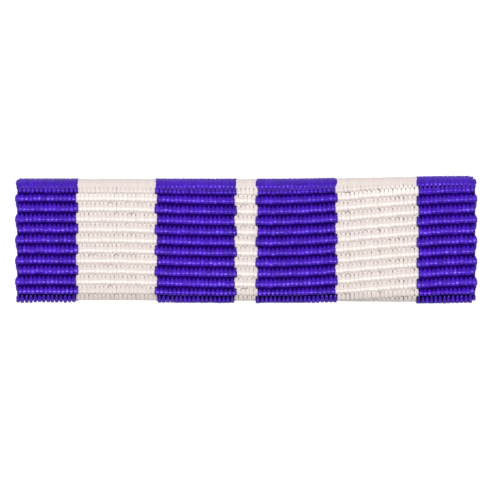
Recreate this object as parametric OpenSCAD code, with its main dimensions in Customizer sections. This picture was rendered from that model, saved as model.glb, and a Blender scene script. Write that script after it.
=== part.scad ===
// Single service ribbon bar with a slide-on ribbon unit and two butterfly clutches.
//
// The ribbon faces -Y, the cloth it is worn on lies against the plane y = 0, +X is to the
// wearer's left and +Z is up.  The origin is midway between the two posts, on that plane.

/* [Ribbon] */
// Length of the woven ribbon across the bar
ribbon_l = 34.925; // [30:0.025:45]
// Height of the bar over the wrapped ribbon
ribbon_h = 9.6; // [9.0:0.05:12.7]
// Thickness of the weave on the face
ribbon_t = 0.45; // [0.3:0.05:0.6]
// Thickness of the two tails pressed flat behind the lips
tail_t = 0.38; // [0.25:0.01:0.4]
// Radius that the weave takes over the top and bottom edges
ribbon_bend_r = 1.0; // [0.8:0.05:1.05]
// Height of the open strip between the two tails
tail_gap = 6.2; // [6.1:0.1:7.0]

/* [Backing channel] */
// Thickness of the channel's brass sheet
channel_t = 0.3; // [0.2:0.05:0.35]
// Height of the open mouth between the rolled lips
channel_mouth = 6.0; // [5.0:0.1:6.1]
// Outer radius of the rolled edges
channel_roll_r = 0.5; // [0.35:0.05:0.55]
// How much shorter the channel is than the ribbon
channel_short = 0.5; // [0.3:0.1:2.0]
// How far the lips are cut back at each end, as a lead-in for the bar
lip_relief = 0.8; // [0.3:0.1:2.0]
// Thickness of the double-sided adhesive strip behind the weave
adhesive_t = 0.15; // [0.1:0.01:0.2]
// Height of the adhesive strip
adhesive_h = 7.2; // [5.0:0.1:7.4]

/* [Mounting bar] */
// Thickness of the bar
bar_t = 0.5; // [0.4:0.05:0.6]
// Sliding gap between the bar and the channel on every side
slide_gap = 0.05; // [0.02:0.01:0.1]
// Radius of the bar's corners
bar_corner_r = 0.8; // [0.3:0.1:1.5]

/* [Posts] */
// Distance between the two posts
post_spacing = 22.2; // [18:0.1:24]
// Radius of the head that is welded to the bar
post_head_r = 1.6; // [1.2:0.1:2.0]
// Thickness of the head
post_head_t = 0.25; // [0.2:0.05:0.35]
// Radius of the neck that fills the hole in the cloth
post_neck_r = 0.62; // [0.62:0.01:0.66]
// How far the neck stands out behind the plane of the cloth
post_neck_out = 1.6; // [0.8:0.1:1.6]
// Radius of the shank that the clutch grips
post_shank_r = 0.45; // [0.42:0.01:0.45]
// How far the point stands out behind the plane of the cloth
post_out = 7.9; // [7.5:0.1:9.0]
// Length of the ground point
post_point = 1.2; // [0.8:0.1:1.4]
// Radius at the bottom of the catch groove
groove_r = 0.36; // [0.33:0.01:0.4]
// Width of the catch groove
groove_w = 0.45; // [0.3:0.05:0.6]

/* [Clutch] */
// Room left for cloth between the bar and the clutch
cloth_gap = 2.2; // [2.1:0.1:2.6]
// Radius of the clutch over its rolled rim
clutch_r = 4.55; // [4.5:0.05:4.7]
// Thickness of the sheet that the base and cap are stamped from
clutch_t = 0.3; // [0.25:0.01:0.3]
// Radius of the guide hole through the base
guide_r = 0.74; // [0.70:0.01:0.78]
// Radius of the funnel's mouth on the cloth side
funnel_r = 1.35; // [1.1:0.05:1.5]
// Outer radius of the raised cap
cap_r = 3.3; // [3.25:0.01:3.35]
// Height of the cap's top above the face that meets the cloth
cap_h = 3.05; // [3.0:0.01:3.1]
// Radius of the cap's shoulder
cap_shoulder_r = 0.7; // [0.5:0.05:0.75]
// Width of the windows that the wings pass through
window_w = 2.8; // [2.7:0.05:2.9]

/* [Clutch wings] */
// Thickness of the wings' spring-temper sheet
wing_t = 0.28; // [0.24:0.01:0.3]
// Width of a wing inside its window
wing_w = 2.4; // [2.2:0.05:2.5]
// Width of a wing's finger pad
pad_w = 3.8; // [3.4:0.1:4.2]
// Radius of the finger pad's corners
pad_corner_r = 0.7; // [0.5:0.05:0.9]
// Distance of a wing's pivot from the post
pivot_u = 2.2; // [2.15:0.01:2.25]
// Height of a wing's pivot above the face that meets the cloth
pivot_w = 2.3; // [2.28:0.01:2.32]
// Radius of the trunnion pins on a wing
trunnion_r = 0.22; // [0.2:0.01:0.22]
// Clearance around a trunnion pin and around the post in the jaws
running_gap = 0.04; // [0.03:0.01:0.05]
// Thickness of the bowed leaf spring
spring_t = 0.15; // [0.12:0.01:0.16]
// Width of the bowed leaf spring
spring_w = 2.2; // [2.0:0.1:2.4]

/* [Hidden] */
$fn = 64;
over = 0.1;                                  // how far a cutter runs past what it cuts
glue = 0.02;                                 // bond line between the weave and the brass

// The stack of layers, from the plane of the cloth forward
lip_rear = -tail_t - glue;
lip_front = lip_rear - channel_t;
bar_rear = lip_front - slide_gap;
bar_front = bar_rear - bar_t;
plate_rear = bar_front - slide_gap;
plate_front = plate_rear - channel_t;
weave_rear = plate_front - adhesive_t;
weave_front = weave_rear - ribbon_t;

wrap_t = ribbon_t - 0.05;                    // the weave is drawn a little thinner over an edge
channel_h = ribbon_h - 2 * (wrap_t + glue);
channel_l = ribbon_l - channel_short;
bar_h = channel_h - 2 * (channel_t + slide_gap);
post_x = post_spacing / 2;
neck_rear = post_neck_out;
neck_taper = 0.15;                           // length of the step down from neck to shank
groove_at = post_out - post_point - 0.5;     // centre of the catch groove
point_tip_r = 0.06;

rim_r = 0.4;                                 // radius of the rolled rim's bead
rim_centre = clutch_r - rim_r;
flange_gap = 0.03;
flange_r = rim_centre + 0.05;
flange_w = clutch_t + flange_gap;            // height of the flange above the cloth's face
cap_hole_r = guide_r;
cheek_t = 0.25;
window_u = 1.7;                              // inner end of a window, from the post
window_low = 1.3;                            // lower end of a window, above the cloth's face
cheek_u = [window_u - 0.15, 2.75];           // the cheeks' extent away from the post
cheek_low = 1.75;

jaw_w = 0.95;                                // height of the jaws above the cloth's face
jaw_tip = 0.15;                              // half the gap between the two jaws
pad_low = cap_h + 0.3;                       // where a wing widens into its finger pad
wing_route = [[jaw_tip, jaw_w], [1.75, jaw_w], [pivot_u, 1.5], [pivot_u, 2.75],
              [2.75, 3.5], [3.75, 4.35], [4.25, 5.15]];

spring_end = pivot_u - trunnion_r - 0.02;    // where the spring bears on a wing
spring_rise = 0.16;                          // how far the spring bows up between its ends
spring_top = cap_h - clutch_t - 0.03;        // just under the cap's top
spring_bow_r = (spring_end * spring_end + spring_rise * spring_rise) / (2 * spring_rise);

RIBBON = "#4220A2";
PAPER = "#E9DFC4";
GILT = "#C79A3C";
BRASS = "#D2A94F";
STEEL = "#A8A6A0";

// A rectangle from a to b and -half to half, with round corners
module round_slab(a, b, half, r) {
    translate([a + r, -half]) square([b - a - 2 * r, 2 * half]);
    translate([a, -half + r]) square([b - a, 2 * (half - r)]);
    for (p = [a + r, b - r], q = [-half + r, half - r]) translate([p, q]) circle(r);
}

// Runs a profile drawn in Y and Z along the length of the bar
module along_x(length) {
    rotate([90, 0, 90]) linear_extrude(length, center = true) children();
}

// Turns a shape built on +Z so that it points backwards, along +Y
module pointing_back() {
    rotate([-90, 0, 0]) children();
}

// Puts a clutch part on its post; the left clutch is the right one turned half round
module on_post(side) {
    translate([side * post_x, cloth_gap, 0]) rotate([0, side < 0 ? 180 : 0, 0]) children();
}

// A strip of sheet seen edge on, following a route of straight runs
module bent_strip(route, t) {
    for (i = [0 : len(route) - 2]) {
        run = route[i + 1] - route[i];
        translate(route[i]) rotate(atan2(run[1], run[0]))
            translate([0, -t / 2]) square([norm(run), t]);
    }
    for (i = [1 : len(route) - 2]) translate(route[i]) circle(t / 2);
}

// The woven ribbon, folded over the channel's edges with its tails bonded behind the lips
module ribbon() {
    color(RIBBON) along_x(ribbon_l) difference() {
        round_slab(weave_front, 0, ribbon_h / 2, ribbon_bend_r);
        round_slab(weave_rear, -tail_t, ribbon_h / 2 - wrap_t, channel_roll_r);
        translate([-tail_t - over, -tail_gap / 2]) square([tail_t + 2 * over, tail_gap]);
    }
}

// The double-sided adhesive strip that holds the weave to the front of the channel
module adhesive_strip() {
    color(PAPER) translate([0, weave_rear + adhesive_t / 2, 0])
        cube([channel_l - 1, adhesive_t, adhesive_h], center = true);
}

// The brass channel: a flat plate whose top and bottom edges are rolled back into lips
module backing_channel() {
    lip_end = channel_l / 2 - lip_relief;
    color(GILT) difference() {
        along_x(channel_l) difference() {
            round_slab(plate_front, lip_rear, channel_h / 2, channel_roll_r);
            round_slab(plate_rear, lip_front, channel_h / 2 - channel_t, 0.18);
            translate([lip_front - over, -channel_mouth / 2])
                square([channel_t + 2 * over, channel_mouth]);
        }
        for (side = [-1, 1])
            translate([side > 0 ? lip_end : -lip_end - 2 * lip_relief, lip_front - over, -ribbon_h / 2])
                cube([2 * lip_relief, channel_t + 2 * over, ribbon_h]);
    }
}

// The brass strip that the ribbon unit slides along
module mounting_bar() {
    color(BRASS) translate([0, bar_rear, 0]) rotate([90, 0, 0]) linear_extrude(bar_t)
        round_slab(-channel_l / 2, channel_l / 2, bar_h / 2, bar_corner_r);
}

// One nail post: welded head, neck, shank with a catch groove, and a ground point
module post(side) {
    shank_from = neck_rear + neck_taper;
    point_from = post_out - post_point;
    color(STEEL) translate([side * post_x, 0, 0]) pointing_back() difference() {
        union() {
            translate([0, 0, bar_rear]) cylinder(r = post_head_r, h = post_head_t);
            translate([0, 0, bar_rear]) cylinder(r = post_neck_r, h = neck_rear - bar_rear);
            translate([0, 0, neck_rear])
                cylinder(r1 = post_neck_r, r2 = post_shank_r, h = neck_taper);
            translate([0, 0, shank_from]) cylinder(r = post_shank_r, h = point_from - shank_from);
            translate([0, 0, point_from])
                cylinder(r1 = post_shank_r, r2 = point_tip_r, h = post_point);
        }
        translate([0, 0, groove_at - groove_w / 2]) difference() {
            cylinder(r = post_shank_r + over, h = groove_w);
            cylinder(r = groove_r, h = groove_w);
        }
    }
}

// The base disc: a funnel to find the post, and a rim rolled over the cap's flange
module clutch_base(side) {
    color(BRASS) on_post(side) pointing_back() difference() {
        rotate_extrude() difference() {
            union() {
                square([rim_centre, clutch_t]);
                translate([rim_centre, rim_r]) circle(rim_r);
            }
            translate([0, clutch_t]) square([flange_r + flange_gap, clutch_t + 2 * flange_gap]);
        }
        translate([0, 0, -over]) cylinder(r = guide_r, h = clutch_t + 2 * over);
        translate([0, 0, -0.001]) cylinder(r1 = funnel_r, r2 = guide_r - 0.01, h = clutch_t - 0.05);
    }
}

// The raised cap: flange, wall, top with a hole for the point, two windows and four cheeks
module clutch_cap(side) {
    top_low = cap_h - clutch_t;
    wall = cap_r - clutch_t;
    color(BRASS) on_post(side) {
        difference() {
            pointing_back() rotate_extrude() difference() {
                union() {
                    translate([0, flange_w]) square([flange_r, clutch_t]);
                    translate([0, flange_w]) square([cap_r, cap_h - flange_w - cap_shoulder_r]);
                    shouldered_top(cap_r, cap_h, cap_shoulder_r);
                }
                translate([0, -over]) square([wall, top_low + over - (cap_shoulder_r - clutch_t)]);
                shouldered_top(wall, top_low, cap_shoulder_r - clutch_t);
                square([cap_hole_r, cap_h + over]);
            }
            for (u = [window_u, -window_u - 3])
                translate([u, window_low, -window_w / 2]) cube([3, cap_h, window_w]);
        }
        for (turn = [0, 180], z = [-1, 1]) rotate([0, turn, 0]) cheek(z);
    }
}

// The shouldered top of a cap's profile, from the shoulder's centre upwards
module shouldered_top(r, top, shoulder) {
    translate([0, top - shoulder]) square([r - shoulder, shoulder]);
    translate([r - shoulder, top - shoulder]) intersection() {
        circle(shoulder);
        square(shoulder);
    }
    translate([0, top - shoulder - over]) square([r, over]);
}

// One cheek beside a window, folded down from the cap's top, with a trunnion hole
module cheek(z) {
    z_mid = z * (window_w / 2 + cheek_t / 2);
    translate([0, 0, z_mid]) linear_extrude(cheek_t, center = true) difference() {
        translate([cheek_u[0], cheek_low])
            square([cheek_u[1] - cheek_u[0], cap_h - clutch_t / 2 - cheek_low]);
        translate([pivot_u, pivot_w]) circle(trunnion_r + running_gap);
    }
}

// One wing: half a jaw, trunnion pins, and a flared finger pad; turn is 180 for the inner one
module clutch_wing(side, turn) {
    color(BRASS) on_post(side) rotate([0, turn, 0]) difference() {
        union() {
            intersection() {
                linear_extrude(pad_w, center = true) bent_strip(wing_route, wing_t);
                union() {
                    translate([0, 0, -wing_w / 2]) cube([pad_w + 2, pad_low + over, wing_w]);
                    rotate([90, 0, 90]) linear_extrude(pad_w + 2)
                        round_slab(pad_low, wing_route[6][1], pad_w / 2, pad_corner_r);
                }
            }
            translate([pivot_u, pivot_w, 0])
                cylinder(r = trunnion_r, h = window_w + 2 * cheek_t, center = true);
        }
        pointing_back() cylinder(r = post_shank_r + running_gap, h = 2 * jaw_w);
    }
}

// The bowed leaf that pushes the wings apart under the cap's top
module clutch_spring(side) {
    color(STEEL) on_post(side) difference() {
        linear_extrude(spring_w, center = true) intersection() {
            translate([0, spring_top - spring_bow_r]) difference() {
                circle(spring_bow_r);
                circle(spring_bow_r - spring_t);
            }
            translate([-spring_end, spring_top - 2 * spring_rise])
                square([2 * spring_end, 2 * spring_rise]);
        }
        pointing_back() cylinder(r = guide_r, h = cap_h);
    }
}

ribbon();
adhesive_strip();
backing_channel();
mounting_bar();
post(-1);  // post_left
post(1);  // post_right
clutch_base(-1);  // clutch_left_base
clutch_cap(-1);  // clutch_left_cap
clutch_spring(-1);  // clutch_left_spring
clutch_wing(-1, 0);  // clutch_left_wing_outer
clutch_wing(-1, 180);  // clutch_left_wing_inner
clutch_base(1);  // clutch_right_base
clutch_cap(1);  // clutch_right_cap
clutch_spring(1);  // clutch_right_spring
clutch_wing(1, 0);  // clutch_right_wing_outer
clutch_wing(1, 180);  // clutch_right_wing_inner
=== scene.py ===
# %% [markdown]
# # A service ribbon bar
# A service ribbon is a short piece of striped, ribbed ribbon folded round a thin brass channel. The
# channel slides on a mounting bar, whose two nail posts go through the cloth of a jacket into two
# butterfly clutches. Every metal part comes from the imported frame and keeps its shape. The ribbon
# is built here thread by thread, because its look is its weave: light and shade on a few thousand
# small floats of silky thread.

# %% Load the frame
import math

import bmesh
import bpy
import numpy as np
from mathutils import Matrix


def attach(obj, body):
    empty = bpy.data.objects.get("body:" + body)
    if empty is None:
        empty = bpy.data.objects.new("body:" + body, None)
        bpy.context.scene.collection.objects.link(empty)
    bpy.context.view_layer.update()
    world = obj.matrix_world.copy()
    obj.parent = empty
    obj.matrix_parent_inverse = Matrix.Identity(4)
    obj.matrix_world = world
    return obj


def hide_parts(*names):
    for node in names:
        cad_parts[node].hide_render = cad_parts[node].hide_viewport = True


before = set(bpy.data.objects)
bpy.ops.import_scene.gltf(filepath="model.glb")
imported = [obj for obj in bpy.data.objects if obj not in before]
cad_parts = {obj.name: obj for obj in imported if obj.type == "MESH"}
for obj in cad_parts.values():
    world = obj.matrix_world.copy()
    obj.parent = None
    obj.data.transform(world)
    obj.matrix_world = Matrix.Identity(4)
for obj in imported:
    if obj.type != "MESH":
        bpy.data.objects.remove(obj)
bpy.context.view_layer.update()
MM = 0.001

# %% [markdown]
# ## Camera
# The bar is looked at straight on, so that its long edges are level and no end is nearer. A long
# lens from about 21 cm keeps perspective small on a thing 35 mm wide, as in a catalogue picture.
# The camera comes first, because every later choice is judged through it.

# %% Camera
camera_data = bpy.data.cameras.new("camera")
camera_data.lens = 200
camera_data.sensor_width = 36
camera_data.clip_start = 0.01
camera_data.clip_end = 10
camera = bpy.data.objects.new("camera", camera_data)
camera.location = (0.10 * MM, -210.9 * MM, 0.015 * MM)
camera.rotation_euler = (math.radians(90), 0, 0)
bpy.context.collection.objects.link(camera)
bpy.context.scene.camera = camera

# %% [markdown]
# ## The ribbon's measures
# Such a ribbon is warp-faced: the lengthwise threads, called ends, are so close that the crosswise
# ones, called picks, are hidden. Each pick makes one rib, and over it every second end floats.
# These numbers describe the cloth: 214 ends across 34.9 mm, ribs 0.79 mm apart, and seven stripes.

# %% Measures in millimetres
half_width = 17.4625
edge_inset = 0.12
end_count = 214
cut_length = 14.4
end_gap = 2 * (half_width - edge_inset) / (end_count - 1)
rib_gap = 0.79
rib_start = 0.115
stripe_edges = (-12.83, -6.90, -0.82, 0.82, 6.90, 12.98)
stripe_names = ("purple_left", "white_left", "purple_inner_left", "white_middle",
                "purple_inner_right", "white_right", "purple_right")
face_y = -1.98
tail_y = -0.19
upper_r = 1.15
lower_r = 0.72
tail_end = 3.1
print("ends are", round(end_gap, 4), "mm apart")

# %% [markdown]
# ## How the cloth is folded
# The ribbon runs down the face, round both long edges of the channel and a little way up and down
# behind it. One function gives the middle of the cloth at any distance from the middle of the face,
# with the direction that points out of the cloth. A hand-folded ribbon is never quite even, so the
# upper edge rises a little to the right and the lower one sinks a little.

# %% The fold as a function
def smooth(low, high, value):
    t = np.clip((value - low) / (high - low), 0, 1)
    return t * t * (3 - 2 * t)


def corner(x, radius):
    near = np.clip(x - (half_width - radius), 0, radius)
    return radius - np.sqrt(radius ** 2 - near ** 2)


def edge_height(x, side):
    upper = 4.66 + 0.20 * smooth(2, 16, x) - corner(x, 0.5) - corner(-x, 0.3)
    lower = 4.52 + 0.04 * smooth(-14, 0, x) + 0.08 * smooth(4, 9, x) - corner(x, 0.8)
    return np.where(side > 0, upper, lower)


def fold_radii(side):
    front = np.where(side > 0, upper_r, lower_r)
    return front, tail_y - face_y - front


def cloth_reach(x, side):
    edge = edge_height(x, side)
    front, back = fold_radii(side)
    return (edge - front) + (edge - back - tail_end) + math.pi / 2 * (front + back)


def cloth_middle(s, x):
    side = np.where(s < 0, -1.0, 1.0)
    a = np.abs(s)
    front, back = fold_radii(side)
    straight = edge_height(x, side) - front
    t1 = np.clip((a - straight) / front, 0, math.pi / 2)
    past = a - straight - math.pi / 2 * front
    t2 = np.clip(past / back, 0, math.pi / 2)
    tail = np.clip(past - math.pi / 2 * back, 0, None)
    y = face_y + front * (1 - np.cos(t1)) + back * np.sin(t2)
    z = np.minimum(a, straight) + front * np.sin(t1) - back * (1 - np.cos(t2)) - tail
    return y, side * z, -np.cos(t1 + t2), side * np.sin(t1 + t2)


print("length of cloth in mm:", np.round(cloth_reach(0, 1) + cloth_reach(0, -1), 2))

# %% [markdown]
# ## How a thread runs through the weave
# An end goes over one pick and under the next, and its neighbour does the opposite. A cosine would
# give soft, even waves, but a float on this ribbon leans: it climbs slowly and drops sharply just
# below its crest. So its height is a lopsided roof with a rounded ridge. Where an end is on top it
# spreads wide, and where it dives between its neighbours it narrows, which leaves the dark teeth.
# White ends get a lower roof with a narrow ridge on it, because light passes through white thread
# and fills its hollows. At the folds the threads are pulled tight and lie flatter. The picks rise
# towards the right, so the ribs do too. The random numbers are seeded, so each run is the same.

# %% The weave as a function
purple_lift = 0.29
white_lift = 0.095
under_lift = 0.165
purple_neck = 0.036
white_neck = 0.155
float_half_width = 0.20
purple_thickness = 0.06
white_thickness = 0.035
end_x = (np.arange(end_count) - (end_count - 1) / 2) * end_gap
stripe_of_end = np.searchsorted(stripe_edges, end_x)
white_end = np.array([stripe_names[n].startswith("white") for n in stripe_of_end])
rng = np.random.default_rng(11)
float_noise = rng.normal(size=(64, end_count))
end_noise = rng.normal(size=(4, end_count))


def pick_shift(x):
    return -0.21 * smooth(-12, 0, x) + 0.95 * smooth(1.5, 18, x)


def roof(away, lean=0.31, round_tip=0.13):
    room = np.where(away > -lean, 0.5 + lean, 0.5 - lean)
    share = 0.5 * (away + lean) / room
    full = math.hypot(0.5, round_tip) - round_tip
    return 1 - (np.hypot(share, round_tip) - round_tip) / full


def weave(s, x, end):
    ribs = (s - rib_start - pick_shift(x)) / rib_gap + 0.015 * end_noise[0, end]
    crowd = 0.27 - 0.17 * smooth(2, 14, x)
    ribs = ribs + crowd * smooth(3.3, 3.8, s) - 0.37 * smooth(3.8, 4.3, -s)
    nearest = np.rint(ribs).astype(int)
    over = np.where((nearest + end) % 2 == 0, 1, -1)
    pick = np.clip(nearest + 32, 0, 63)
    loose = 1 + 0.06 * float_noise[pick, end]
    up = s - 0.20 * smooth(2, 16, x)
    fold = smooth(3.75, 4.1, up) + smooth(4.5, 5.2, -s)
    lift = np.where(white_end[end], white_lift, purple_lift) * (1 - 0.95 * fold)
    lift = np.where(over > 0, lift, np.minimum(lift, under_lift))
    crest = roof(ribs - nearest)
    ridge = 0.45 * crest + 0.55 * np.exp(-((ribs - nearest + 0.26) / 0.12) ** 2)
    rise = lift * over * np.where(white_end[end], ridge, crest) * loose
    narrow = np.where(white_end[end], white_neck, purple_neck + 0.09 * fold)
    beads = smooth(3.45, 3.7, up) * (1 - smooth(4.0, 4.15, up))
    beads = beads + 1.5 * smooth(3.95, 4.1, -s) * (1 - smooth(4.6, 4.8, -s))
    bead_pinch = np.where(white_end[end], 0.02, 0.045)
    full = np.where(over > 0, float_half_width, 0.05 + narrow) - bead_pinch * beads
    half = narrow + (full - narrow) * np.clip(crest / 0.64, 0, 1)
    thick = np.where(white_end[end], white_thickness, purple_thickness)
    return rise, half * (1 + 0.04 * end_noise[1, end]), thick


print("white ends:", int(white_end.sum()), "purple ends:", int((~white_end).sum()))

# %% [markdown]
# ## Laying the ends
# Each stripe is one mesh of its ends. A flat grid is made for one end, copied for every other end of
# the stripe, then rolled up: the grid's short way goes round the thread and its long way along the
# cloth. The grid's own place is kept as a UV map, so the material can tell one thread from the next
# and run its filaments along them. Closing the seam and both tips comes last.

# %% Helpers for threads
thread_sides = 8
steps_per_rib = 10


def new_piece(name, bm):
    mesh = bpy.data.meshes.new(name)
    bm.to_mesh(mesh)
    bm.free()
    piece = bpy.data.objects.new(name, mesh)
    bpy.context.collection.objects.link(piece)
    return piece


def thread_grids(name, count, sides, steps):
    bm = bmesh.new()
    bmesh.ops.create_grid(bm, x_segments=sides, y_segments=steps, size=0.5)
    first = bm.verts[:] + bm.edges[:] + bm.faces[:]
    for number in range(1, count):
        copy = bmesh.ops.duplicate(bm, geom=first)["geom"]
        moved = [part for part in copy if isinstance(part, bmesh.types.BMVert)]
        bmesh.ops.translate(bm, verts=moved, vec=(0, 0, number))
    return new_piece(name, bm)


def grid_places(piece):
    places = np.empty(len(piece.data.vertices) * 3, dtype=np.float32)
    piece.data.vertices.foreach_get("co", places)
    return places.reshape(-1, 3).astype(float)


def set_places(piece, places):
    piece.data.vertices.foreach_set("co", (places * MM).astype(np.float32).ravel())
    piece.data.update()


def keep_thread_uv(piece, around, along):
    loops = np.empty(len(piece.data.loops), dtype=np.int32)
    piece.data.loops.foreach_get("vertex_index", loops)
    layer = piece.data.uv_layers.new(name="thread")
    uv = np.stack([around[loops], along[loops]], axis=1)
    layer.data.foreach_set("uv", uv.astype(np.float32).ravel())


def close_thread(piece):
    bm = bmesh.new()
    bm.from_mesh(piece.data)
    bmesh.ops.remove_doubles(bm, verts=bm.verts[:], dist=1e-7)
    bmesh.ops.recalc_face_normals(bm, faces=bm.faces[:])
    for face in bm.faces:
        face.smooth = True
    bm.to_mesh(piece.data)
    bm.free()


# %% [markdown]
# ## The seven stripes
# A stripe is only a change of colour in the ends, so the seven stripes are the same weave with a
# different share of the ends each. Each is its own piece, which keeps every mesh small enough to
# handle. A thread is squeezed by its neighbours, so its cross-section is a rounded oblong rather
# than a circle: a power below one on the sine and cosine fills out its corners.

# %% Lay each stripe
tip_share = 0.004


def squared(way, power):
    return np.sign(way) * np.abs(way) ** power


def lay_stripe(name, ends):
    ends = np.array(ends)
    steps = int(cut_length / rib_gap * steps_per_rib)
    piece = thread_grids("ribbon_" + name, len(ends), thread_sides, steps)
    grid = grid_places(piece)
    end = ends[np.rint(grid[:, 2]).astype(int)]
    turn = (grid[:, 0] + 0.5) * 2 * math.pi
    x = (end - (end_count - 1) / 2) * end_gap
    side = np.where(grid[:, 1] < 0, -1.0, 1.0)
    s = 2 * grid[:, 1] * cloth_reach(x, side)
    rise, half, thick = weave(s, x, end)
    tip = np.sqrt(np.clip((0.5 - np.abs(grid[:, 1])) / tip_share, 0, 1))
    y, z, out_y, out_z = cloth_middle(s, x)
    out = rise + thick * tip * squared(np.sin(turn), 0.5)
    across = x + 0.006 * end_noise[2, end] + half * tip * squared(np.cos(turn), 0.8)
    places = np.stack([across, y + out * out_y, z + out * out_z], axis=1)
    keep_thread_uv(piece, end + grid[:, 0] + 0.5, s)
    set_places(piece, places)
    close_thread(piece)
    return piece


stripes = []
for number, name in enumerate(stripe_names):
    stripes.append(lay_stripe(name, np.flatnonzero(stripe_of_end == number)))
    print(stripes[-1].name, len(stripes[-1].data.polygons), "faces")

# %% [markdown]
# ## The middle of the cloth
# Between the floats lies the dense middle where ends and picks bind. It is drawn as one thin sheet
# in the middle of the cloth, so no light comes through between threads.

# %% The middle sheet
def lay_middle():
    bm = bmesh.new()
    bmesh.ops.create_grid(bm, x_segments=64, y_segments=150, size=0.5)
    piece = new_piece("ribbon_middle", bm)
    grid = grid_places(piece)
    x = 2 * grid[:, 0] * (half_width - 0.08)
    for edge in stripe_edges:
        column = x[np.argmin(np.abs(x - edge))]
        x[np.abs(x - column) < 0.01] = edge
    side = np.where(grid[:, 1] < 0, -1.0, 1.0)
    s = 2 * grid[:, 1] * (cloth_reach(x, side) - 0.03)
    y, z, out_y, out_z = cloth_middle(s, x)
    set_places(piece, np.stack([x, y, z], axis=1))
    for face in piece.data.polygons:
        face.use_smooth = True
        if stripe_names[int(np.searchsorted(stripe_edges, face.center[0] / MM))].startswith("white"):
            face.material_index = 1
    wall = piece.modifiers.new("wall", "SOLIDIFY")
    wall.thickness = 0.06 * MM
    wall.offset = 0
    return piece


middle = lay_middle()
print("middle sheet:", len(middle.data.polygons), "faces")

# %% [markdown]
# ## The picks
# One long crosswise thread goes to and fro through the whole ribbon and turns round the outermost
# end at each side. Only those turns show, as the slightly wavy edge called the selvedge. It is one
# tube that follows a path to and fro, flat where the ends press on it.

# %% The crosswise thread
def lay_picks():
    lowest = int(math.ceil((-6.9 - rib_start) / rib_gap))
    highest = int(math.floor((6.1 - rib_start) / rib_gap))
    turn_x = half_width - 0.16
    path = []
    for number, pick in enumerate(range(lowest, highest + 1)):
        across = np.linspace(-turn_x, turn_x, 60)
        if number % 2:
            across = across[::-1]
        s = rib_start + rib_gap * pick + pick_shift(across)
        path.append(np.stack([across, s], axis=1))
        if pick < highest:
            way = np.sign(across[-1])
            angle = np.linspace(0, math.pi, 9)[1:-1]
            bend_s = s[-1] + rib_gap / 2 * (1 - np.cos(angle))
            path.append(np.stack([across[-1] + way * 0.10 * np.sin(angle), bend_s], axis=1))
    path = np.concatenate(path)
    sides = 6
    piece = thread_grids("ribbon_picks", 1, sides, len(path) - 1)
    grid = grid_places(piece)
    step = np.rint((grid[:, 1] + 0.5) * (len(path) - 1)).astype(int)
    x, s = path[step, 0], path[step, 1]
    ahead = np.gradient(path, axis=0)
    ahead /= np.linalg.norm(ahead, axis=1)[:, None]
    turn = (grid[:, 0] + 0.5) * 2 * math.pi
    tip = np.where((step == 0) | (step == len(path) - 1), 0.0, 1.0)
    wide = 0.11 * np.cos(turn) * tip
    x_out = x - ahead[step, 1] * wide
    s_out = s + ahead[step, 0] * wide
    y, z, out_y, out_z = cloth_middle(s_out, x_out)
    out = 0.035 * np.sin(turn) * tip
    keep_thread_uv(piece, grid[:, 0] + 0.5, step * 0.3)
    set_places(piece, np.stack([x_out, y + out * out_y, z + out * out_z], axis=1))
    close_thread(piece)
    return piece


picks = lay_picks()
print("picks:", len(picks.data.polygons), "faces")

# %% [markdown]
# ## Making a material
# Colours are written as the usual hex values of a colour picker, which are for the screen, so one
# function turns them into the linear light values that Blender mixes. Another adds a node to a
# material with its settings and its links, so each finish reads as a short list.

# %% Helpers for materials
def linear(hex_value):
    parts = [int(hex_value[i:i + 2], 16) / 255 for i in (1, 3, 5)]
    light = [p / 12.92 if p <= 0.04045 else ((p + 0.055) / 1.055) ** 2.4 for p in parts]
    return (*light, 1)


def add(tree, kind, links=None, **settings):
    node = tree.nodes.new(kind)
    for name, value in settings.items():
        socket = name.replace("_", " ").title().replace("Ior", "IOR")
        if socket in node.inputs:
            node.inputs[socket].default_value = value
        else:
            setattr(node, name, value)
    for name, source in (links or {}).items():
        tree.links.new(source, node.inputs[name])
    return node


def new_material(name):
    material = bpy.data.materials.new(name)
    material.use_nodes = True
    tree = material.node_tree
    tree.nodes.clear()
    return material, tree


# %% [markdown]
# ## Silky thread
# The ribbon's threads are rayon, a shiny fibre spun as many fine filaments with little twist. Dyed
# rayon throws a highlight in its own colour, because much of the light goes through the outer
# filaments and back, so the gloss is tinted. Real filaments are about 0.02 mm wide, which is too
# fine to show, so the streaks are drawn about 0.1 mm wide. Each thread takes the dye a little
# differently. Rayon's index of refraction is 1.52. It is set to 1.75 here, because one smooth tube
# throws less light than the bundle of filaments that it stands for.

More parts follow.
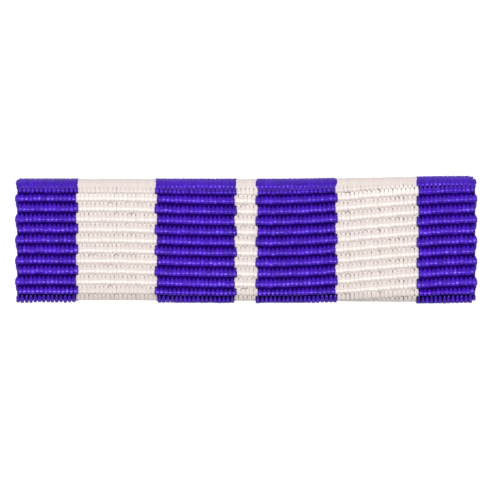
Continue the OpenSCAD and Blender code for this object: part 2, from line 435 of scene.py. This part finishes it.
# %% Thread finishes
def thread_material(name, dark, light, gloss, roughness, relief):
    material, tree = new_material(name)
    uv = add(tree, "ShaderNodeUVMap", uv_map="thread")
    parts = add(tree, "ShaderNodeSeparateXYZ", {"Vector": uv.outputs["UV"]})
    number = add(tree, "ShaderNodeMath", {0: parts.outputs["X"]}, operation="FLOOR")
    dye = add(tree, "ShaderNodeTexWhiteNoise", {"W": number.outputs[0]}, noise_dimensions="1D")
    filament = add(tree, "ShaderNodeMapping", {"Vector": uv.outputs["UV"]})
    filament.inputs["Scale"].default_value = (1.7, 7.0, 1)
    streak = add(tree, "ShaderNodeTexNoise", {"Vector": filament.outputs[0]}, scale=1.0, detail=2.0)
    mixed = add(tree, "ShaderNodeMath", {0: dye.outputs["Value"]}, operation="MULTIPLY")
    mixed.inputs[1].default_value = 0.35
    tone = add(tree, "ShaderNodeMath", {0: streak.outputs["Fac"], 1: mixed.outputs[0]},
               operation="ADD")
    ramp = add(tree, "ShaderNodeValToRGB", {"Fac": tone.outputs[0]})
    ramp.color_ramp.elements[0].position = 0.35
    ramp.color_ramp.elements[0].color = linear(dark)
    ramp.color_ramp.elements[1].position = 0.95
    ramp.color_ramp.elements[1].color = linear(light)
    bump = add(tree, "ShaderNodeBump", {"Height": streak.outputs["Fac"]}, strength=relief,
               distance=0.03 * MM)
    along = add(tree, "ShaderNodeTangent", direction_type="UV_MAP", uv_map="thread")
    shader = add(tree, "ShaderNodeBsdfPrincipled",
                 {"Base Color": ramp.outputs["Color"], "Normal": bump.outputs["Normal"],
                  "Tangent": along.outputs["Tangent"]},
                 roughness=roughness, anisotropic=0.8, anisotropic_rotation=0.0,
                 specular_ior_level=1.0, specular_tint=linear(gloss), ior=1.75)
    add(tree, "ShaderNodeOutputMaterial", {"Surface": shader.outputs[0]})
    return material


# Dyed rayon: deep violet in its hollows, with a bright violet highlight along each float.
purple_thread = thread_material("woven purple rayon", "#24007C", "#4306B4", "#9274FF", 0.34, 0.8)
# Undyed rayon: warm white with a faint neutral gloss, and little relief in its filaments.
white_thread = thread_material("woven white rayon", "#CDC2BC", "#D5CAC4", "#A8A8A8", 0.38, 0.25)
# The same dyed rayon where it is bound in the middle of the cloth: matt, as no float catches light,
# and a lighter violet than the floats, which is painted fill light for the shaded gaps between them.
painted_fill_thread = thread_material("bound purple rayon, lightened as painted fill", "#3C02AA", "#4A06C6", "#6C50E0", 0.6, 0.3)
for stripe in stripes:
    stripe.data.materials.append(white_thread if "white" in stripe.name else purple_thread)
# The middle sheet's purple faces take the lightened rayon: painted fill light in the gaps between
# floats.
middle.data.materials.append(painted_fill_thread)
middle.data.materials.append(white_thread)
picks.data.materials.append(purple_thread)

# %% [markdown]
# ## Where the ribbon belongs
# All the cloth moves with the channel it is folded round, so it rides on that body, and the imported
# ribbon part is hidden in its place. The middle sheet's flat size is the ribbon's width by the
# length of the fold.

# %% Ride and replace
for piece in [middle, picks, *stripes]:
    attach(piece, "ribbon_unit")
    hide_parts("ribbon")

# %% [markdown]
# ## Metal
# The channel and bar are thin rolled brass, the posts are steel wire and the clutches are stamped
# brass with spring steel inside. How the metal was made decides its grain: rolling and drawing pull
# it out in one direction, and stamping and tumbling leave it even. One noise pattern, stretched
# along the grain, varies the colour, the roughness and a slight bump together. The real grain is
# finer than 0.1 mm, too fine to show, so it is drawn 0.25 to 0.35 mm wide.

# %% Metal finishes
def metal_material(name, dark, light, roughness, grain_mm, stretch):
    material, tree = new_material(name)
    place = add(tree, "ShaderNodeTexCoord")
    grain = add(tree, "ShaderNodeMapping", {"Vector": place.outputs["Object"]})
    grain.inputs["Scale"].default_value = [k / (grain_mm * MM) for k in stretch]
    noise = add(tree, "ShaderNodeTexNoise", {"Vector": grain.outputs[0]}, scale=1.0, detail=4.0)
    ramp = add(tree, "ShaderNodeValToRGB", {"Fac": noise.outputs["Fac"]})
    ramp.color_ramp.elements[0].position = 0.3
    ramp.color_ramp.elements[0].color = linear(dark)
    ramp.color_ramp.elements[1].position = 0.7
    ramp.color_ramp.elements[1].color = linear(light)
    rough = add(tree, "ShaderNodeMapRange", {"Value": noise.outputs["Fac"]})
    rough.inputs["To Min"].default_value = roughness - 0.05
    rough.inputs["To Max"].default_value = roughness + 0.05
    bump = add(tree, "ShaderNodeBump", {"Height": noise.outputs["Fac"]}, strength=0.2,
               distance=0.004 * MM)
    shader = add(tree, "ShaderNodeBsdfPrincipled",
                 {"Base Color": ramp.outputs["Color"], "Roughness": rough.outputs[0],
                  "Normal": bump.outputs["Normal"]}, metallic=1.0)
    add(tree, "ShaderNodeOutputMaterial", {"Surface": shader.outputs[0]})
    return material


# Cartridge brass sheet, rolled along the bar: fine streaks along its length.
rolled_brass = metal_material("rolled brass", "#CFA757", "#E0BE70", 0.32, 0.25, (0.03, 1, 1))
# Cartridge brass, stamped and tumbled bright: brighter, with an even mottle.
stamped_brass = metal_material("stamped brass", "#DCB663", "#E9C87A", 0.24, 0.35, (1, 1, 1))
# Plated steel wire, drawn: streaks along the post.
drawn_steel = metal_material("drawn steel wire", "#B9BABD", "#D2D3D6", 0.25, 0.3, (1, 0.08, 1))
# Tempered spring strip: darker and bluer, rolled along its length.
spring_steel = metal_material("spring steel", "#8E9298", "#B4B8BE", 0.3, 0.3, (0.1, 1, 1))

# %% [markdown]
# ## Adhesive film
# The cloth is held to its channel by double-sided film, cream and a little cloudy where it has
# bedded down unevenly. Only its thin edge can be seen. A soft noise 1.5 mm across is enough for it.

# %% The film's finish
film, film_tree = new_material("acrylic adhesive film")
film_place = add(film_tree, "ShaderNodeTexCoord")
clouds = add(film_tree, "ShaderNodeTexNoise", {"Vector": film_place.outputs["Object"]},
             scale=1 / (1.5 * MM), detail=3.0)
film_tone = add(film_tree, "ShaderNodeValToRGB", {"Fac": clouds.outputs["Fac"]})
film_tone.color_ramp.elements[0].color = linear("#DDD0AC")
film_tone.color_ramp.elements[1].color = linear("#F0E8D0")
film_bump = add(film_tree, "ShaderNodeBump", {"Height": clouds.outputs["Fac"]}, strength=0.4,
                distance=0.02 * MM)
film_shader = add(film_tree, "ShaderNodeBsdfPrincipled",
                  {"Base Color": film_tone.outputs["Color"], "Normal": film_bump.outputs["Normal"]},
                  roughness=0.35, ior=1.47)
add(film_tree, "ShaderNodeOutputMaterial", {"Surface": film_shader.outputs[0]})

# %% [markdown]
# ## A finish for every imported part
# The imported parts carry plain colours. A word in each part's name tells which finish it takes, so
# both clutches are covered by the same few lines.

# %% Give each part its finish
finish_of = {"backing_channel": rolled_brass, "mounting_bar": rolled_brass, "post": drawn_steel,
             "base": stamped_brass, "cap": stamped_brass, "wing": stamped_brass,
             "spring": spring_steel, "adhesive": film}
for name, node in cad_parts.items():
    for word, finish in finish_of.items():
        if word in name:
            for material_slot in node.material_slots:
                material_slot.material = finish
                print(name, "is", finish.name)

# %% [markdown]
# ## Floor and light
# The floor is plain and pale, well below the bar, which hangs as it would on a jacket. A wide key
# panel stands in front and about 28 degrees up, so that each rib has a lit top and a dark underside.
# A faint panel overhead lifts the upper fold, and one behind lights the brass. The white room gives
# the rest. It is weaker from below than from above for the light it throws, which keeps the hollows
# dark, but plain white to the camera.

# %% Floor, world and lights
floor_radius = 170
floor_drop = 110
bm = bmesh.new()
bmesh.ops.create_circle(bm, cap_ends=True, segments=96, radius=floor_radius * MM)
bmesh.ops.translate(bm, verts=bm.verts[:], vec=(0, 0, -floor_drop * MM))
floor = new_piece("floor", bm)
print("floor is", floor_drop, "mm below the middle of the bar")
floor_paint, floor_tree = new_material("matt white paint")
floor_shader = add(floor_tree, "ShaderNodeBsdfPrincipled", base_color=linear("#F4F4F4"),
                   roughness=0.9)
add(floor_tree, "ShaderNodeOutputMaterial", {"Surface": floor_shader.outputs[0]})
floor.data.materials.append(floor_paint)

world = bpy.data.worlds.new("white room")
bpy.context.scene.world = world
world.use_nodes = True
world.node_tree.nodes.clear()
ray = add(world.node_tree, "ShaderNodeLightPath")
way = add(world.node_tree, "ShaderNodeTexCoord")
height = add(world.node_tree, "ShaderNodeSeparateXYZ", {"Vector": way.outputs["Generated"]})
sky = add(world.node_tree, "ShaderNodeMapRange", {"Value": height.outputs["Z"]}, from_min=-0.6,
          to_min=0.40, to_max=0.56)
room_light = add(world.node_tree, "ShaderNodeMapRange",
                 {"Value": ray.outputs["Is Camera Ray"], "To Min": sky.outputs[0]})
room_light.inputs["To Max"].default_value = 1.05
room = add(world.node_tree, "ShaderNodeBackground", {"Strength": room_light.outputs[0]},
           color=(1, 1, 1, 1))
add(world.node_tree, "ShaderNodeOutputWorld", {"Surface": room.outputs[0]})
bpy.context.scene.view_settings.view_transform = "Standard"


def panel(name, place, size, power):
    light = bpy.data.lights.new(name, "AREA")
    light.shape = "RECTANGLE"
    light.size = size[0] * MM
    light.size_y = size[1] * MM
    light.energy = power
    lamp = bpy.data.objects.new(name, light)
    lamp.location = [v * MM for v in place]
    away = lamp.location.copy()
    # An area light shines down its own -Z, so Z points away from the bar.
    lamp.rotation_euler = away.to_track_quat("Z", "Y").to_euler()
    bpy.context.collection.objects.link(lamp)
    print(name, "is", round(away.length / MM), "mm away")


panel("key panel", (0, -256, 136), (160, 50), 0.74)
panel("top panel", (0, -55, 258), (200, 150), 0.02)
panel("back panel", (60, 270, 15), (240, 160), 0.55)
